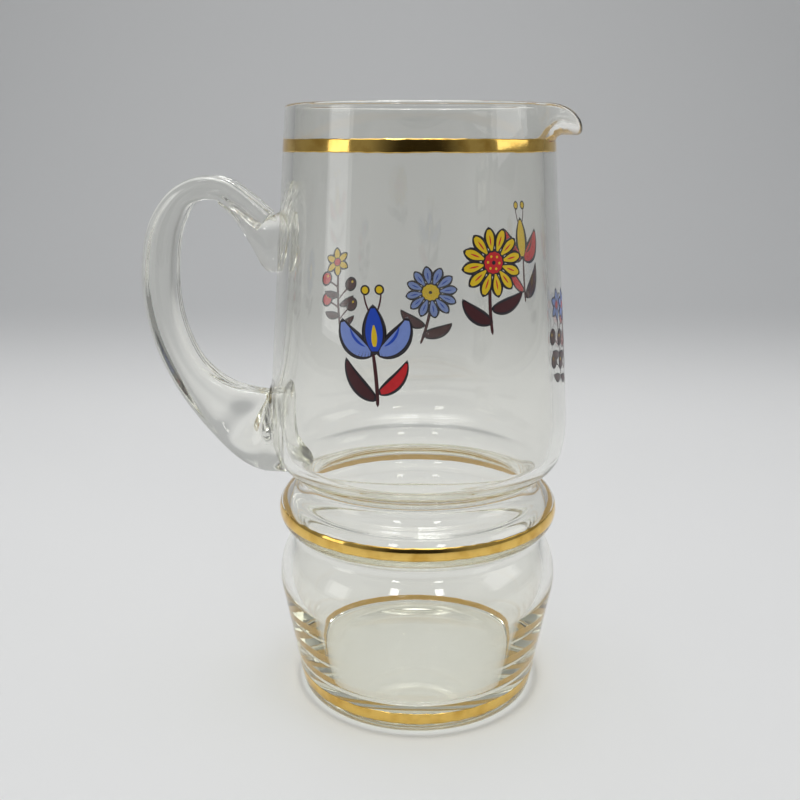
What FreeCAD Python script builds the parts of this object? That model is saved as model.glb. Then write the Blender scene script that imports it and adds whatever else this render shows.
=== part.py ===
import FreeCAD, Part
import collections
import math
import os

import Sketcher
from FreeCAD import Placement, Rotation, Vector

# One-piece glass jug with a ringed base, an applied glass handle, gilt bands and enamel sprays.
# The origin is the centre of the foot, Z is up, the handle is on -X and the pouring lip on +X.

# Driving dimensions in millimetres, degrees or counts, each with the thing it measures
driving_sizes = [
    ("jug_height", 252.8, "foot to rim"),
    ("rim_radius", 53.8, "outside of the rim"),
    ("body_radius", 64.1, "outside of the jug at its widest"),
    ("body_height", 122.8, "height of the widest place"),
    ("belly_round", 60.0, "profile radius of the widest place"),
    ("corner_drop", 7.9, "centre of the lower corner below the widest place"),
    ("corner_round", 15.0, "profile radius of the lower corner"),
    ("waist_round", 5.0, "profile radius of the groove above the ring"),
    ("collar_radius", 61.2, "outside of the ring"),
    ("collar_height", 83.2, "height of the ring's widest place"),
    ("collar_round", 9.0, "profile radius of the ring"),
    ("neck_round", 4.0, "profile radius of the groove below the ring"),
    ("bowl_radius", 61.7, "outside of the base bowl at its widest"),
    ("bowl_height", 52.0, "height of the base bowl's widest place"),
    ("bowl_round", 28.0, "profile radius of the base bowl's shoulder"),
    ("foot_radius", 52.6, "outside of the foot on the table"),
    ("foot_round", 1.5, "rounding of the foot's edge"),
    ("wall", 5.0, "glass thickness of the wall"),
    ("rim_wall", 4.6, "glass thickness at the rim"),
    ("rim_round", 1.6, "rounding of the rim's outer edge"),
    ("floor_height", 10.0, "inside floor above the table"),
    ("floor_radius", 46.0, "where the inside wall meets the floor"),
    ("floor_round", 5.0, "rounding of the inside corner at the floor"),
    ("kick_radius", 44.0, "hollow under the foot"),
    ("kick_height", 2.4, "depth of the hollow under the foot"),
    ("lip_root_reach", 45.0, "inner end of the pouring lip from the axis"),
    ("lip_root_half", 26.0, "half width of the lip at its inner end"),
    ("lip_root_drop", 1.5, "edge of the lip below the rim, at its inner end"),
    ("lip_root_depth", 16.8, "underside of the lip below the rim, at its inner end"),
    ("lip_root_round", 8.0, "underside rounding at the inner end"),
    ("lip_neck_reach", 56.0, "lip just outside the wall, from the axis"),
    ("lip_neck_half", 14.5, "half width of the lip there"),
    ("lip_neck_drop", 0.5, "edge of the lip below the rim there"),
    ("lip_neck_depth", 11.2, "underside below the rim there"),
    ("lip_neck_round", 6.0, "underside rounding there"),
    ("lip_tip_reach", 65.2, "tip of the lip from the axis"),
    ("lip_tip_half", 5.0, "half width of the tip"),
    ("lip_tip_drop", 9.0, "edge of the tip below the rim"),
    ("lip_tip_depth", 11.2, "underside of the tip below the rim"),
    ("lip_tip_round", 4.0, "underside rounding of the tip"),
    ("lip_wall", 3.0, "glass thickness of the lip"),
    ("bow_radius", 74.0, "large arc of the handle's middle line"),
    ("bow_reach", 35.0, "centre of the large arc from the axis"),
    ("bow_height", 180.0, "height of the large arc's centre"),
    ("crest_radius", 18.0, "small arc over the top of the handle"),
    ("crest_angle", 156.4, "where the two arcs meet, from +X"),
    ("handle_width", 17.0, "handle across"),
    ("handle_round", 4.0, "rounding of the handle's edges"),
    ("crest_thick", 9.4, "handle thickness over the top"),
    ("bow_thick", 14.0, "handle thickness down the back"),
    ("high_seat_height", 199.5, "middle of the upper joint on the wall"),
    ("high_seat_thick", 28.0, "upper joint from top to bottom"),
    ("high_throat_reach", 63.0, "where the upper joint narrows, from the axis"),
    ("high_throat_height", 206.0, "middle of the handle there"),
    ("high_throat_thick", 16.0, "handle thickness there"),
    ("low_seat_height", 113.0, "middle of the lower joint on the wall"),
    ("low_seat_thick", 44.0, "lower joint from top to bottom"),
    ("seat_reach", 52.0, "plane inside the wall where both joints end"),
    ("film", 0.3, "thickness of gilding and enamel"),
    ("rim_band_drop", 13.1, "upper edge of the rim's gilt band below the rim"),
    ("rim_band_width", 4.9, "rim's gilt band from edge to edge"),
    ("collar_band_height", 81.3, "lower edge of the ring's gilt band"),
    ("collar_band_width", 5.4, "ring's gilt band from edge to edge"),
    ("foot_band_height", 4.1, "lower edge of the foot's gilt band"),
    ("foot_band_width", 5.5, "foot's gilt band from edge to edge"),
    ("spray_scale", 1.0, "enamel flowers as a share of their drawn size"),
    ("cut_past", 2.0, "how far a cut runs past the face it opens"),
]

doc = FreeCAD.newDocument("glass_jug")
sheet = doc.addObject("Spreadsheet::Sheet", "Sizes")
for row, (alias, value, meaning) in enumerate(driving_sizes, start=1):
    sheet.set("A%d" % row, meaning)
    sheet.set("B%d" % row, str(value))
    sheet.setAlias("B%d" % row, alias)
doc.recompute()

# A size as a number for drawing and as a rule that ties a feature to the sheet
Quantity = collections.namedtuple("Quantity", "value rule")


def plain(name):
    return Quantity(float(sheet.get(name)), "Sizes." + name)


def more(first, second):
    return Quantity(first.value + second.value, "%s + %s" % (first.rule, second.rule))


def less(first, second):
    return Quantity(first.value - second.value, "%s - (%s)" % (first.rule, second.rule))


def origin_plane(body, role):
    return next(feature for feature in body.Origin.OriginFeatures if feature.Role == role)


def new_sketch(body, name, role):
    sketch = body.newObject("Sketcher::SketchObject", name)
    sketch.AttachmentSupport = [(origin_plane(body, role), "")]
    sketch.MapMode = "FlatFace"
    return sketch


def bind(sketch, name, kind, references, quantity):
    index = sketch.addConstraint(Sketcher.Constraint(kind, *references, quantity.value))
    sketch.renameConstraint(index, name)
    sketch.setExpression("Constraints." + name, quantity.rule)


def rule(sketch, kind, *references):
    sketch.addConstraint(Sketcher.Constraint(kind, *references))


def circle_between(centre_a, reach_a, centre_b, reach_b):
    """Point at one distance from each of two centres, on the side away from the axis."""
    step = centre_b - centre_a
    along = (step.Length ** 2 + reach_a ** 2 - reach_b ** 2) / (2 * step.Length)
    aside = math.sqrt(reach_a ** 2 - along ** 2)
    across = Vector(-step.y, step.x, 0) / step.Length
    if across.x < 0:
        across = -across
    return centre_a + step * (along / step.Length) + across * aside


def towards(start, end, distance):
    return start + (end - start).normalize() * distance


def tangent_point(point, centre, radius, turn):
    """Where a line from a point touches a circle; turn is +1 or -1 for the side."""
    step = point - centre
    angle = math.atan2(step.y, step.x) + turn * math.acos(radius / step.Length)
    return centre + Vector(math.cos(angle), math.sin(angle), 0) * radius


def add_arc(sketch, centre, radius, upper, lower, bulges_out):
    """Arc of the outline; returns its index and the ends that are its upper and lower points."""
    first, last = (lower, upper) if bulges_out else (upper, lower)
    angles = [math.atan2(end.y - centre.y, end.x - centre.x) for end in (first, last)]
    if angles[1] < angles[0]:
        angles[1] += 2 * math.pi
    circle = Part.Circle(centre, Vector(0, 0, 1), radius)
    index = sketch.addGeometry(Part.ArcOfCircle(circle, *angles), False)
    return (index, 2, 1) if bulges_out else (index, 1, 2)


def jug_outline(body, name, grown, top, foot):
    """Half section of the jug from its axis to a wall that lies grown outside the glass.

    Flank, belly, lower corner, groove, ring, groove, bowl and bowl flank follow each other
    without a kink. top and foot are the radius and height of the outline's two ends.
    """
    sketch = new_sketch(body, name, "XZ_Plane")
    out = {key: more(plain(key + "_round"), grown) for key in ("belly", "corner", "collar", "bowl")}
    groove = {key: less(plain(key + "_round"), grown) for key in ("waist", "neck")}
    centre_x = {
        "belly": less(plain("body_radius"), plain("belly_round")),
        "collar": less(plain("collar_radius"), plain("collar_round")),
        "bowl": less(plain("bowl_radius"), plain("bowl_round")),
    }
    centre_z = {
        "belly": plain("body_height"),
        "corner": less(plain("body_height"), plain("corner_drop")),
        "collar": plain("collar_height"),
        "bowl": plain("bowl_height"),
    }
    belly = Vector(centre_x["belly"].value, centre_z["belly"].value, 0)
    collar = Vector(centre_x["collar"].value, centre_z["collar"].value, 0)
    bowl = Vector(centre_x["bowl"].value, centre_z["bowl"].value, 0)
    drop = centre_z["corner"].value - belly.y
    aside = math.sqrt((out["belly"].value - out["corner"].value) ** 2 - drop ** 2)
    corner = Vector(belly.x + aside, centre_z["corner"].value, 0)
    waist = circle_between(corner, out["corner"].value + groove["waist"].value,
                           collar, out["collar"].value + groove["waist"].value)
    neck = circle_between(collar, out["collar"].value + groove["neck"].value,
                          bowl, out["bowl"].value + groove["neck"].value)

    rim = Vector(top[0].value, top[1].value, 0)
    base = Vector(foot[0].value, foot[1].value if foot[1] else 0, 0)
    joints = [
        tangent_point(rim, belly, out["belly"].value, -1),
        towards(belly, corner, out["belly"].value),
        towards(corner, waist, out["corner"].value),
        towards(collar, waist, out["collar"].value),
        towards(collar, neck, out["collar"].value),
        towards(bowl, neck, out["bowl"].value),
        tangent_point(base, bowl, out["bowl"].value, 1),
    ]

    flank = sketch.addGeometry(Part.LineSegment(rim, joints[0]), False)
    chain = [(flank, 1, 2)]
    arcs = {}
    steps = [("belly", belly, out, True), ("corner", corner, out, True), ("waist", waist, groove, False),
             ("collar", collar, out, True), ("neck", neck, groove, False), ("bowl", bowl, out, True)]
    for (key, centre, radii, bulges_out), upper, lower in zip(steps, joints, joints[1:]):
        arcs[key] = add_arc(sketch, centre, radii[key].value, upper, lower, bulges_out)
        chain.append(arcs[key])
        bind(sketch, key + "_profile", "Radius", (arcs[key][0],), radii[key])
    bowl_flank = sketch.addGeometry(Part.LineSegment(joints[-1], base), False)
    chain.append((bowl_flank, 1, 2))
    for upper, lower in zip(chain, chain[1:]):
        rule(sketch, "Tangent", upper[0], upper[2], lower[0], lower[1])

    base_centre = Vector(0, base.y, 0)
    rim_centre = Vector(0, rim.y, 0)
    under = sketch.addGeometry(Part.LineSegment(base, base_centre), False)
    axis = sketch.addGeometry(Part.LineSegment(base_centre, rim_centre), False)
    over = sketch.addGeometry(Part.LineSegment(rim_centre, rim), False)
    for first, second in ((bowl_flank, under), (under, axis), (axis, over), (over, flank)):
        rule(sketch, "Coincident", first, 2, second, 1)
    rule(sketch, "Horizontal", under)
    rule(sketch, "Horizontal", over)
    rule(sketch, "PointOnObject", under, 2, -2)
    rule(sketch, "PointOnObject", axis, 2, -2)

    for key, quantity in centre_x.items():
        bind(sketch, key + "_centre", "DistanceX", (-1, 1, arcs[key][0], 3), quantity)
    for key, quantity in centre_z.items():
        bind(sketch, key + "_level", "DistanceY", (-1, 1, arcs[key][0], 3), quantity)
    bind(sketch, "top_radius", "DistanceX", (-1, 1, flank, 1), top[0])
    bind(sketch, "top_level", "DistanceY", (-1, 1, flank, 1), top[1])
    bind(sketch, "base_radius", "DistanceX", (-1, 1, bowl_flank, 2), foot[0])
    if foot[1]:
        bind(sketch, "base_level", "DistanceY", (-1, 1, bowl_flank, 2), foot[1])
    else:
        rule(sketch, "PointOnObject", bowl_flank, 2, -1)
    return sketch


def turn_solid(body, sketch):
    solid = body.newObject("PartDesign::Revolution", body.Name + "_turned")
    solid.Profile = sketch
    solid.ReferenceAxis = (sketch, ["V_Axis"])
    solid.Angle = 360
    doc.recompute()
    return solid


def circular_edge(shape, radius, height):
    """Name of the round edge nearest to a radius and a height."""
    def miss(entry):
        if entry[1].Degenerated or not isinstance(entry[1].Curve, Part.Circle):
            return math.inf
        curve = entry[1].Curve
        return abs(curve.Radius - radius) + abs(curve.Center.z - height)
    index, edge = min(enumerate(shape.Edges, start=1), key=miss)
    return "Edge%d" % index


def round_edge(body, base, radius, height, amount):
    fillet = body.newObject("PartDesign::Fillet", body.Name + "_rounding")
    fillet.Base = (base, [circular_edge(base.Shape, radius, height)])
    fillet.Radius = amount.value
    fillet.setExpression("Radius", amount.rule)
    doc.recompute()
    return fillet


def trough(body, name, reach, half, top, bottom, rounding):
    """Upright section across the pouring lip: a V with a round bottom and a straight top."""
    sketch = new_sketch(body, name, "YZ_Plane")
    sketch.AttachmentOffset = Placement(Vector(0, 0, reach.value), Rotation())
    sketch.setExpression("AttachmentOffset.Base.z", reach.rule)
    centre = Vector(0, bottom.value + rounding.value, 0)
    right_top = Vector(half.value, top.value, 0)
    left_top = Vector(-half.value, top.value, 0)
    right_foot = tangent_point(right_top, centre, rounding.value, -1)
    left_foot = Vector(-right_foot.x, right_foot.y, 0)
    over = sketch.addGeometry(Part.LineSegment(left_top, right_top), False)
    right = sketch.addGeometry(Part.LineSegment(right_top, right_foot), False)
    angles = [math.atan2(end.y - centre.y, end.x - centre.x) for end in (left_foot, right_foot)]
    if angles[0] > angles[1]:
        angles[0] -= 2 * math.pi
    circle = Part.Circle(centre, Vector(0, 0, 1), rounding.value)
    under = sketch.addGeometry(Part.ArcOfCircle(circle, *angles), False)
    left = sketch.addGeometry(Part.LineSegment(left_foot, left_top), False)
    rule(sketch, "Coincident", over, 2, right, 1)
    rule(sketch, "Tangent", right, 2, under, 2)
    rule(sketch, "Tangent", under, 1, left, 1)
    rule(sketch, "Coincident", left, 2, over, 1)
    rule(sketch, "Symmetric", over, 1, over, 2, -2)
    rule(sketch, "PointOnObject", under, 3, -2)
    bind(sketch, "half_width", "DistanceX", (-1, 1, over, 2), half)
    bind(sketch, "top_level", "DistanceY", (-1, 1, over, 2), top)
    bind(sketch, "round_level", "DistanceY", (-1, 1, under, 3), more(bottom, rounding))
    bind(sketch, "round_radius", "Radius", (under,), rounding)
    return sketch


def loft(body, name, sections):
    solid = body.newObject("PartDesign::AdditiveLoft", name)
    solid.Profile = sections[0]
    solid.Sections = sections[1:]
    doc.recompute()
    return solid


def bar_section(body, name, place, width, thick, rounding):
    """Rounded oblong across the handle; its normal follows the handle's middle line."""
    sketch = new_sketch(body, name, "YZ_Plane")
    sketch.AttachmentOffset = place
    a = width.value / 2
    b = thick.value / 2
    r = rounding.value
    corners = [Vector(right * (a - r), top * (b - r), 0)
               for right, top in ((1, 1), (-1, 1), (-1, -1), (1, -1))]
    arcs = []
    for quarter, centre in enumerate(corners):
        circle = Part.Circle(centre, Vector(0, 0, 1), r)
        start = quarter * math.pi / 2
        arcs.append(sketch.addGeometry(Part.ArcOfCircle(circle, start, start + math.pi / 2), False))
    sides = []
    for quarter, centre in enumerate(corners):
        following = corners[(quarter + 1) % 4]
        outward = Vector(math.cos((quarter + 1) * math.pi / 2), math.sin((quarter + 1) * math.pi / 2), 0) * r
        sides.append(sketch.addGeometry(Part.LineSegment(centre + outward, following + outward), False))
    for quarter in range(4):
        rule(sketch, "Tangent", arcs[quarter], 2, sides[quarter], 1)
        rule(sketch, "Tangent", sides[quarter], 2, arcs[(quarter + 1) % 4], 1)
        rule(sketch, "Horizontal" if quarter % 2 == 0 else "Vertical", sides[quarter])
    for quarter in range(1, 4):
        rule(sketch, "Equal", arcs[0], arcs[quarter])
    rule(sketch, "Symmetric", arcs[0], 3, arcs[2], 3, -1, 1)
    bind(sketch, "edge_round", "Radius", (arcs[0],), rounding)
    bind(sketch, "across", "DistanceX", (arcs[1], 3, arcs[0], 3), less(width, more(rounding, rounding)))
    bind(sketch, "through", "DistanceY", (arcs[3], 3, arcs[0], 3), less(thick, more(rounding, rounding)))
    return sketch


def blended(first, second, share):
    amount = first.value + (second.value - first.value) * share
    return Quantity(amount, "%s + (%s - %s) * %.6f" % (first.rule, second.rule, first.rule, share))


def cut(name, base, tool):
    result = doc.addObject("Part::Cut", name)
    result.Base = base
    result.Tool = tool
    return result


def on_glass(name, stencil):
    """The film of gilding or enamel that a stencil leaves on the outside of the glass."""
    print_area = doc.addObject("Part::Common", name + "_area")
    print_area.Base = film_form
    print_area.Tool = stencil
    return cut(name, print_area, blank)


nothing = Quantity(0.0, "0")
blank = doc.addObject("PartDesign::Body", "glass_blank")
blank_outline = jug_outline(blank, "blank_outline", nothing,
                            (plain("rim_radius"), plain("jug_height")), (plain("foot_radius"), None))
blank_solid = turn_solid(blank, blank_outline)
blank_solid = round_edge(blank, blank_solid, plain("foot_radius").value, 0, plain("foot_round"))
height = plain("jug_height")
blank_solid = round_edge(blank, blank_solid, plain("rim_radius").value, height.value, plain("rim_round"))

# Pouring lip: a solid beak on the blank, and the channel that opens it
lip = {
    part: {word: plain("lip_%s_%s" % (part, word)) for word in ("reach", "half", "depth", "round")}
    for part in ("root", "neck", "tip")
}
lip_edge = {part: less(height, plain("lip_%s_drop" % part)) for part in lip}
beak = [trough(blank, "lip_" + part, row["reach"], row["half"], lip_edge[part],
               less(height, row["depth"]), row["round"]) for part, row in lip.items()]
loft(blank, "lip_beak", beak)

cavity = doc.addObject("PartDesign::Body", "glass_inside")
over_rim = more(height, plain("cut_past"))
cavity_outline = jug_outline(cavity, "inside_outline", less(nothing, plain("wall")),
                             (less(plain("rim_radius"), plain("rim_wall")), over_rim),
                             (plain("floor_radius"), plain("floor_height")))
cavity_solid = turn_solid(cavity, cavity_outline)
round_edge(cavity, cavity_solid, plain("floor_radius").value, plain("floor_height").value, plain("floor_round"))
channel_reach = {
    "root": less(lip["root"]["reach"], plain("lip_wall")),
    "neck": lip["neck"]["reach"],
    "tip": more(lip["tip"]["reach"], plain("cut_past")),
}
channel = [trough(cavity, "channel_" + part, channel_reach[part], less(row["half"], plain("lip_wall")), over_rim,
                  more(less(height, row["depth"]), plain("lip_wall")), less(row["round"], plain("rim_round")))
           for part, row in lip.items()]
loft(cavity, "lip_channel", channel)

# Hollow under the foot, part of a large ball
kick = doc.addObject("Part::Sphere", "foot_hollow")
kick_ball = "(Sizes.kick_radius ^ 2 + Sizes.kick_height ^ 2) / (2 * Sizes.kick_height)"
kick.setExpression("Radius", kick_ball)
kick.setExpression("Placement.Base.z", "Sizes.kick_height - " + kick_ball)
open_jug = cut("open_jug", blank, cavity)
jug_body = cut("jug_body", open_jug, kick)

# Handle: sections along an upper joint, a small arc over the top, a large arc and a lower joint
handle_form = doc.addObject("PartDesign::Body", "handle_form")
bow_centre = Vector(-plain("bow_reach").value, 0, plain("bow_height").value)
meeting = math.radians(plain("crest_angle").value)
inward = plain("bow_radius").value - plain("crest_radius").value
crest_centre = bow_centre + Vector(math.cos(meeting), 0, math.sin(meeting)) * inward


def across_arc(centre, radius, angle):
    """Place of a section square to an arc of the handle, at an angle from +X."""
    spot = centre + Vector(math.cos(angle), 0, math.sin(angle)) * radius
    tilt = math.degrees(math.atan2(-math.cos(angle), -math.sin(angle)))
    return Placement(Vector(spot.y, spot.z, spot.x), Rotation(Vector(1, 0, 0), tilt))


def upright(reach, middle, turned):
    """Place of a section on the joints' side, leaning by an angle about Y."""
    return Placement(Vector(0, middle.value, -reach.value), Rotation(Vector(1, 0, 0), turned))


crest_angles = [math.radians(angle) for angle in (45, 100)]
bow_angles = [math.radians(angle) for angle in (175, 194, 212, 227, 240)]
flare_start = bow_angles[1]
flare_end = math.radians(252)
flare_power = 2.5
throat_lean = 202
sections = [
    (upright(plain("seat_reach"), plain("high_seat_height"), 180), plain("high_seat_thick")),
    (upright(plain("high_throat_reach"), plain("high_throat_height"), throat_lean), plain("high_throat_thick")),
]
for angle in crest_angles:
    sections.append((across_arc(crest_centre, plain("crest_radius").value, angle), plain("crest_thick")))
sections.append((across_arc(crest_centre, plain("crest_radius").value, meeting),
                 blended(plain("crest_thick"), plain("bow_thick"), 0.5)))
for angle in bow_angles:
    share = max(0.0, (angle - flare_start) / (flare_end - flare_start)) ** flare_power
    sections.append((across_arc(bow_centre, plain("bow_radius").value, angle),
                     blended(plain("bow_thick"), plain("low_seat_thick"), share)))
sections.append((upright(plain("seat_reach"), plain("low_seat_height"), 0), plain("low_seat_thick")))
bars = [bar_section(handle_form, "handle_section_%d" % index, place, plain("handle_width"), thick,
                    plain("handle_round")) for index, (place, thick) in enumerate(sections, start=1)]
loft(handle_form, "handle_bar", bars)
jug_handle = cut("jug_handle", handle_form, blank)

# Gilt bands, cut from a film that follows the outside of the glass
film_form = doc.addObject("PartDesign::Body", "film_form")
film_outline = jug_outline(film_form, "film_outline", plain("film"),
                           (more(plain("rim_radius"), plain("film")), plain("jug_height")),
                           (more(plain("foot_radius"), plain("film")), None))
turn_solid(film_form, film_outline)
band_places = {
    "rim": ("Sizes.jug_height - Sizes.rim_band_drop - Sizes.rim_band_width", "Sizes.body_radius"),
    "collar": ("Sizes.collar_band_height", "Sizes.collar_radius"),
    "foot": ("Sizes.foot_band_height", "Sizes.bowl_radius"),
}
bands = []
for place, (low_edge, widest) in band_places.items():
    slab = doc.addObject("Part::Cylinder", place + "_slab")
    slab.setExpression("Radius", widest + " + Sizes.cut_past")
    slab.setExpression("Height", "Sizes.%s_band_width" % place)
    slab.setExpression("Placement.Base.z", low_edge)
    bands.append(on_glass(place + "_gilt_band", slab))

# Enamel sprays, drawn flat as discs, pointed leaves and straight stalks, and cut from the same film.
# Each row gives the shape's middle to the side and up, its direction in degrees, its length and its width.
petal_turns = range(15, 375, 30)
star_turns = range(30, 390, 60)
spray_drawings = {
    "tulip": {
        "stalk": [(0.0, -9.0, 90, 24.0, 1.6)],
        "leaf": [(-6.4, -9.0, 128, 21.5, 5.6), (6.4, -8.9, 44, 18.5, 5.0), (0.0, 9.4, 90, 18.0, 9.0),
                 (-7.0, 6.2, 136, 19.5, 8.6), (7.0, 6.2, 44, 19.5, 8.6)],
        "disc": [],
    },
    "daisy": {
        "stalk": [(0.6, -15.0, 98, 24.0, 1.6)],
        "leaf": [(-5.0, -18.3, 150, 16.5, 5.2), (7.8, -13.9, 24, 17.0, 5.2)]
                + [(8.0 * math.cos(math.radians(turn)), 8.0 * math.sin(math.radians(turn)), turn, 10.4, 4.3)
                   for turn in petal_turns],
        "disc": [(0.0, 0.0, 0, 9.4, 9.4)],
    },
    "berry": {
        "stalk": [(0.0, -3.0, 90, 35.0, 1.6), (-3.6, -9.9, 139, 11.0, 1.4), (3.6, -4.9, 41, 11.0, 1.4),
                  (-3.6, 0.1, 139, 11.0, 1.4), (3.6, 5.1, 41, 11.0, 1.4)],
        "leaf": [(3.2 * math.cos(math.radians(turn)), 15.0 + 3.2 * math.sin(math.radians(turn)), turn, 7.2, 3.6)
                 for turn in star_turns],
        "disc": [(-7.2, -6.8, 0, 6.2, 6.2), (7.2, -1.8, 0, 6.2, 6.2), (-7.2, 3.2, 0, 6.2, 6.2),
                 (7.2, 8.2, 0, 6.2, 6.2), (0.0, 15.0, 0, 3.8, 3.8)],
    },
}
spray_places = {  # drawing, direction from +X in degrees, height of its middle
    "blue_tulip_spray": ("tulip", -105, 163),
    "yellow_daisy_spray": ("daisy", -62, 196),
    "right_berry_spray": ("berry", -14, 160),
    "red_tulip_spray": ("tulip", 30, 188),
    "blue_daisy_spray": ("daisy", 84, 168),
    "left_berry_spray": ("berry", 131, 170),
}
scale = plain("spray_scale").value
through = more(plain("body_radius"), plain("cut_past"))


def facing(azimuth, aside, up):
    """Place on the axis that looks straight out at an azimuth, moved to the side and up."""
    angle = math.radians(azimuth)
    spot = Vector(-math.sin(angle) * aside, math.cos(angle) * aside, up)
    return Placement(spot, Rotation(Vector(0, 0, 1), azimuth).multiply(Rotation(Vector(0, 1, 0), 90)))


def peg(name, place, radius):
    """Round bar from the axis out through the glass."""
    pin = doc.addObject("Part::Cylinder", name)
    pin.Radius = radius
    pin.Placement = place
    pin.setExpression("Height", through.rule)
    return pin


def stencil_shape(kind, name, azimuth, height_up, row):
    """One shape of a spray as a bar that reaches from the axis out through the glass."""
    aside, up, length, width = [row[index] * scale for index in (0, 1, 3, 4)]
    turn = row[2]
    middle = facing(azimuth, aside, height_up + up)
    if kind == "disc":
        return peg(name, middle, width / 2)
    if kind == "stalk":
        bar = doc.addObject("Part::Box", name)
        bar.Length = width
        bar.Width = length
        bar.setExpression("Height", through.rule)
        turned = middle.multiply(Placement(Vector(), Rotation(Vector(0, 0, 1), turn)))
        bar.Placement = turned.multiply(Placement(Vector(-width / 2, -length / 2, 0), Rotation()))
        return bar
    edge = (length ** 2 + width ** 2) / (4 * width)
    off = edge - width / 2
    sides = []
    for number, sign in enumerate((1, -1), start=1):
        lean = math.radians(turn + 90)
        place = facing(azimuth, aside + sign * off * math.cos(lean),
                       height_up + up + sign * off * math.sin(lean))
        sides.append(peg("%s_edge_%d" % (name, number), place, edge))
    leaf = doc.addObject("Part::Common", name)
    leaf.Base, leaf.Tool = sides
    return leaf


sprays = []
for spray, (drawing, azimuth, height_up) in spray_places.items():
    shapes = []
    for kind, rows in spray_drawings[drawing].items():
        for number, row in enumerate(rows, start=1):
            shapes.append(stencil_shape(kind, "%s_%s_%d" % (spray, kind, number), azimuth, height_up, row))
    stencil = doc.addObject("Part::MultiFuse", spray + "_stencil")
    stencil.Shapes = shapes
    sprays.append(on_glass(spray, stencil))

nodes = [jug_body, jug_handle] + bands + sprays
doc.recompute()

for item in doc.Objects:
    if "Invalid" in item.State or "Error" in item.State:
        raise RuntimeError("%s did not recompute: %s" % (item.Name, item.State))
for node in nodes:
    if node.Shape.isNull() or not node.Shape.isValid():
        raise RuntimeError("%s has no sound shape" % node.Label)

os.makedirs("parts", exist_ok=True)
for node in nodes:
    node.Shape.exportStep("parts/%s.step" % node.Label)
    print("%-28s solids %d  volume %.1f mm3" % (node.Label, len(node.Shape.Solids), node.Shape.Volume))
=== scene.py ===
import math

import bmesh
import bpy
import numpy as np
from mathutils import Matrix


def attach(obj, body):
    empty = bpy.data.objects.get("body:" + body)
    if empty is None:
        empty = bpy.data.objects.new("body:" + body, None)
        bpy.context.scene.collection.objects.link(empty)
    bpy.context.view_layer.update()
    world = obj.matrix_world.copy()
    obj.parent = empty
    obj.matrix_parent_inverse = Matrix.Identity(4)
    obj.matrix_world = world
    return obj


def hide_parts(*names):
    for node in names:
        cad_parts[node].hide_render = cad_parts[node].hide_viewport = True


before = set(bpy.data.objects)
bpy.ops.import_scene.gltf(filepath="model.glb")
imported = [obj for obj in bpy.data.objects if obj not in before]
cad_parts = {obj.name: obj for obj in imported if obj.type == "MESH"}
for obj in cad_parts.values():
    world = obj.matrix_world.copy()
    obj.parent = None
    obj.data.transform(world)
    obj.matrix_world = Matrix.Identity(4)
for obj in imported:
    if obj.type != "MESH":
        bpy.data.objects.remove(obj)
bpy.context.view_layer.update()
mm = 0.001
weldGap = 1e-7
deadEdge = 1e-8
scene = bpy.context.scene
print("frame loaded:", ", ".join(sorted(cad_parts)))

# The glass wall, in millimetres from the axis and above the table
jug = {
    "height": 252.8, "rimRadius": 53.8, "rimWall": 4.6, "rimRound": 1.6,
    "bellyRadius": 64.1, "bellyHeight": 122.8, "bellyRound": 60.0,
    "cornerHeight": 114.9, "cornerRound": 15.0, "waistRound": 5.0,
    "collarRadius": 61.2, "collarHeight": 83.2, "collarRound": 9.0, "neckRound": 4.0,
    "bowlRadius": 61.7, "bowlHeight": 52.0, "bowlRound": 28.0,
    "footRadius": 52.6, "footRound": 1.5, "wall": 5.0,
    "floorRadius": 46.0, "floorHeight": 10.0, "floorRound": 5.0,
    "kickRadius": 44.0, "kickHeight": 2.4,
    "turns": 288, "ripple": 0.06,
}

# The lip: degrees to each side of +X, the height where it starts, and its bend in degrees and millimetres
lip = {
    "spread": 36.0, "narrow": 1.4, "start": 238.4, "bend": 94.0, "bendRadius": 4.6,
    "stretch": 0.05, "thin": 0.45,
}


def unit(v):
    return v / np.sqrt((v ** 2).sum())


def arcPoints(centre, radius, start, end, count):
    # centre + radius * (cos a, sin a), a running evenly from start to end the short way
    a0 = math.atan2(start[1] - centre[1], start[0] - centre[0])
    a1 = math.atan2(end[1] - centre[1], end[0] - centre[0])
    a1 = a0 + (a1 - a0 + math.pi) % (2 * math.pi) - math.pi
    a = np.linspace(a0, a1, count)
    return np.stack([centre[0] + radius * np.cos(a), centre[1] + radius * np.sin(a)], -1)


def touching(ca, ra, cb, rb):
    # point at distance ra from ca and rb from cb, on the side away from the axis
    step = cb - ca
    gap = np.hypot(*step)
    along = (gap ** 2 + ra ** 2 - rb ** 2) / (2 * gap)
    side = np.array([-step[1], step[0]]) / gap
    side = side if side[0] > 0 else -side
    return ca + step * (along / gap) + side * math.sqrt(ra ** 2 - along ** 2)


def tangentFrom(point, centre, radius, turn):
    # where a line from the point touches the circle
    step = point - centre
    a = math.atan2(step[1], step[0]) + turn * math.acos(radius / np.hypot(*step))
    return centre + radius * np.array([math.cos(a), math.sin(a)])


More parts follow.
